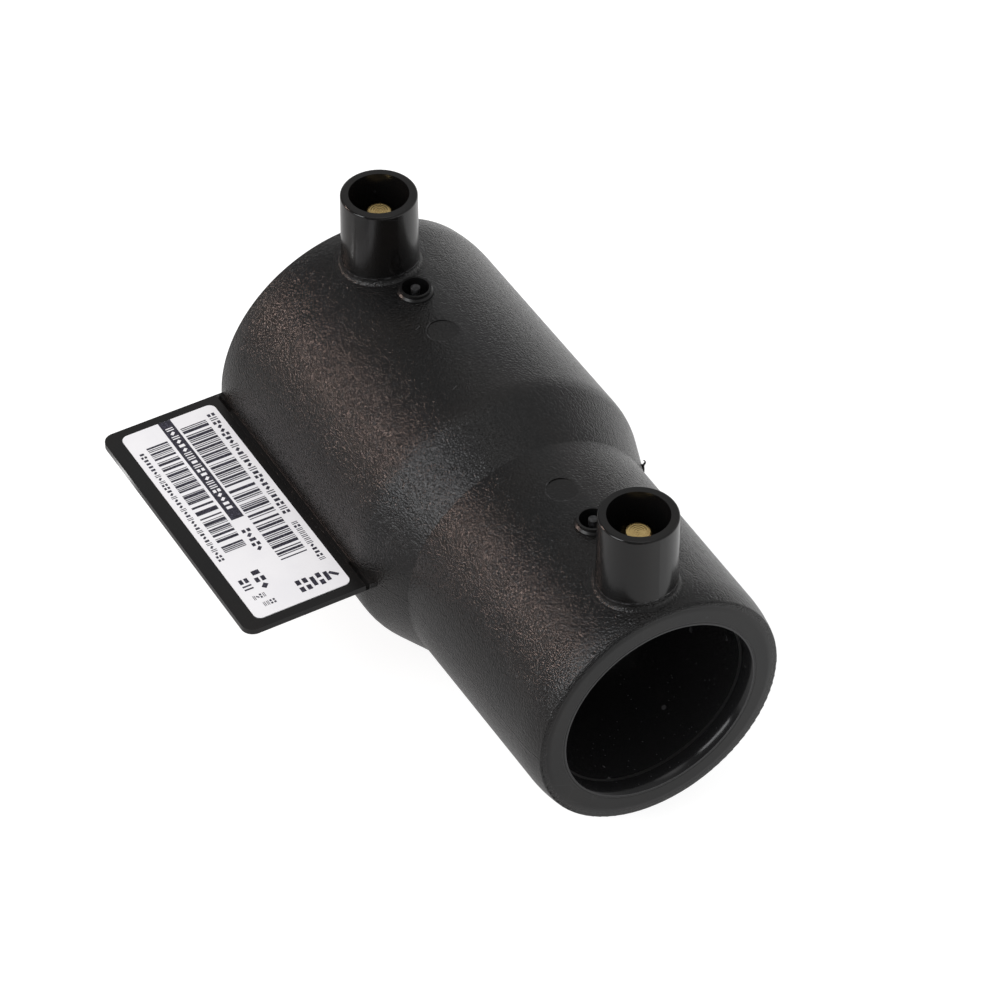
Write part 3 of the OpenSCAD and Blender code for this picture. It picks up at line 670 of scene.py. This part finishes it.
print_label()


# Points of the flash in millimetres, and half its thickness there
BURR_CURL = [(54.5, 21.33, 5.3, 0.1), (54.2, 21.5, 5.6, 0.19), (53.9, 21.68, 5.85, 0.21),
             (53.62, 21.8, 6.1, 0.2), (53.51, 21.97, 6.28, 0.18), (53.47, 22.19, 6.44, 0.17),
             (53.38, 22.32, 6.6, 0.13), (53.2, 22.3, 6.72, 0.09), (53.05, 22.14, 6.72, 0.06)]
BURR_TIP = [(53.62, 21.8, 6.1, 0.15), (53.5, 21.74, 6.3, 0.12), (53.4, 21.68, 6.45, 0.06)]
BURR_SIDES = 8


def flash_burr():
    """A thin curl of flash that stands out from the cone's far side, bent over at its end."""
    bm = bmesh.new()
    for line in (BURR_CURL, BURR_TIP):
        rings = []
        for k, (x, y, z, half) in enumerate(line):
            before, after = line[max(k - 1, 0)], line[min(k + 1, len(line) - 1)]
            along = (Vector(after[:3]) - Vector(before[:3])).normalized()
            side = along.cross(Vector((1.0, 0.0, 0.0))).normalized()
            up = side.cross(along)
            ring = []
            for c in range(BURR_SIDES):
                a = 2 * math.pi * c / BURR_SIDES
                out = side * half * math.cos(a) + up * half * math.sin(a)
                ring.append(bm.verts.new((Vector((x, y, z)) + out) * MM))
            rings.append(ring)
        for low, high in zip(rings, rings[1:]):
            for k in range(BURR_SIDES):
                after = (k + 1) % BURR_SIDES
                bm.faces.new((low[k], low[after], high[after], high[k]))
        bm.faces.new(list(reversed(rings[0])))
        bm.faces.new(rings[-1])
    bmesh.ops.recalc_face_normals(bm, faces=bm.faces)
    mesh = bpy.data.meshes.new("flash_burr")
    bm.to_mesh(mesh)
    bm.free()
    add_piece("flash_burr", mesh, [BODY])


flash_burr()


# Stage: the middle and the way of a glint on the floor beside the tag, and how bright the glint is,
# how bright the floor is for the camera, and the share of its look that is such light
GLINT_AT = (-16.9 * MM, -58.6 * MM)
GLINT_WAY = (0.466, 0.885)
GLINT_GLOW = 8.0
FLOOR_SEEN_GLOW = 1.4
FLOOR_GLOW_SHARE = 0.6


def stage_material():
    """Plain white floor that keeps a faint shadow. Only reflections see its darker side, a painted shade,
    and its glint, a painted highlight.
    """
    m = bpy.data.materials.new("studio_floor")
    m.use_nodes = True
    t = Tree(m.node_tree)
    out = m.node_tree.nodes["Material Output"]
    shader = m.node_tree.nodes["Principled BSDF"]
    shader.inputs["Base Color"].default_value = (0.85, 0.85, 0.85, 1.0)
    shader.inputs["Roughness"].default_value = 0.9
    path = t.node("ShaderNodeLightPath").outputs
    seen = t.most(path["Is Camera Ray"], t.most(path["Is Glossy Ray"], path["Is Transmission Ray"]))
    x, y, _ = t.axes(t.node("ShaderNodeTexCoord").outputs["Object"])
    # Painted shade for reflections only: the floor darker towards -Y, the tag's side, standing in for the
    # fitting's shadow there
    mirrored = t.times(t.ramp(y, -0.11, 0.14, 0.18, 1.0), t.ramp(y, -0.6, -0.08))
    dx, dy = t.minus(x, GLINT_AT[0]), t.minus(y, GLINT_AT[1])
    along = t.plus(t.times(dx, GLINT_WAY[0]), t.times(dy, GLINT_WAY[1]))
    across = t.minus(t.times(dx, GLINT_WAY[1]), t.times(dy, GLINT_WAY[0]))
    glint = t.times(t.fade(t.math("ABSOLUTE", along), 6.0 * MM, 9.0 * MM),
                    t.ramp(t.math("ABSOLUTE", across), 0.8 * MM, 2.2 * MM, GLINT_GLOW, 0.0))
    mirrored = t.times(t.plus(mirrored, glint), t.minus(1.0, path["Is Camera Ray"]))
    glow = t.plus(mirrored, t.times(path["Is Camera Ray"], FLOOR_SEEN_GLOW))
    white = t.node("ShaderNodeEmission", inputs={"Color": (1.0, 1.0, 1.0, 1.0), "Strength": glow})
    mix = t.node("ShaderNodeMixShader", inputs={"Fac": t.times(seen, FLOOR_GLOW_SHARE)})
    m.node_tree.links.new(shader.outputs[0], mix.inputs[1])
    m.node_tree.links.new(white.outputs[0], mix.inputs[2])
    m.node_tree.links.new(mix.outputs[0], out.inputs["Surface"])
    return m


FLOOR_Z = BODY_LO.z - 0.2 * MM
FLOOR_HALF = 2.0
floor_mesh = bpy.data.meshes.new("floor")
floor_corners = [(x * FLOOR_HALF, y * FLOOR_HALF, FLOOR_Z) for x, y in ((-1, -1), (1, -1), (1, 1), (-1, 1))]
floor_mesh.from_pydata(floor_corners, [], [(0, 1, 2, 3)])
floor = bpy.data.objects.new("floor", floor_mesh)
bpy.context.scene.collection.objects.link(floor)
floor.data.materials.append(stage_material())


# How bright the world is to all that isn't a mirror
WORLD_DIFFUSE = 0.84


def studio_world():
    """White where the camera sees it. Reflections see it darken upwards and towards the tag's side."""
    world = bpy.data.worlds.new("studio")
    bpy.context.scene.world = world
    world.use_nodes = True
    t = Tree(world.node_tree)
    back = world.node_tree.nodes["Background"]
    back.inputs["Color"].default_value = (1.0, 1.0, 1.0, 1.0)
    path = t.node("ShaderNodeLightPath").outputs
    _, y, z = t.axes(t.node("ShaderNodeTexCoord").outputs["Generated"])
    mirrored = t.most(path["Is Glossy Ray"], path["Is Transmission Ray"])
    sky = t.times(t.ramp(z, -0.05, 0.6, 0.6, 0.36), t.ramp(y, -0.6, 0.45, 0.25, 1.0))
    # A brighter patch straight above
    sky = t.plus(sky, t.ramp(z, 0.93, 0.99, 0.0, 0.7))
    strength = t.plus(t.times(mirrored, sky), t.times(t.minus(1.0, mirrored), WORLD_DIFFUSE))
    unseen = t.minus(1.0, path["Is Camera Ray"])
    t.feed(back.inputs["Strength"], t.plus(t.times(strength, unseen), path["Is Camera Ray"]))


def area_light(name, azimuth, elevation, distance, size, watts, colour):
    """A soft lamp at the given angles from the middle of the fitting, turned towards it."""
    centre = Vector((BODY_L / 2, 0, 0.01))
    a, e = math.radians(azimuth), math.radians(elevation)
    away = Vector((math.cos(a) * math.cos(e), math.sin(a) * math.cos(e), math.sin(e)))
    data = bpy.data.lights.new(name, "AREA")
    data.shape = "RECTANGLE"
    data.size, data.size_y = size
    data.energy = watts
    data.color = colour
    o = bpy.data.objects.new(name, data)
    o.location = centre + away * distance
    o.rotation_euler = away.to_track_quat("Z", "Y").to_euler()
    bpy.context.scene.collection.objects.link(o)


studio_world()
area_light("softbox_over_tag", -88, 36, 0.9, (0.4, 0.7), 3.5, (0.97, 0.98, 1.0))
area_light("lamp_left", -133, 24, 0.75, (0.09, 0.09), 1.1, (1.0, 0.74, 0.64))

camera = bpy.data.objects.new("camera", bpy.data.cameras.new("camera"))
bpy.context.scene.collection.objects.link(camera)
camera.location = CAMERA_AT
camera.rotation_euler = CAMERA_LOOK.to_track_quat("-Z", "Y").to_euler()
camera.data.lens = LENS_MM
camera.data.sensor_width = SENSOR_MM
camera.data.clip_start = 0.01
bpy.context.scene.camera = camera
bpy.context.scene.view_settings.view_transform = "Standard"
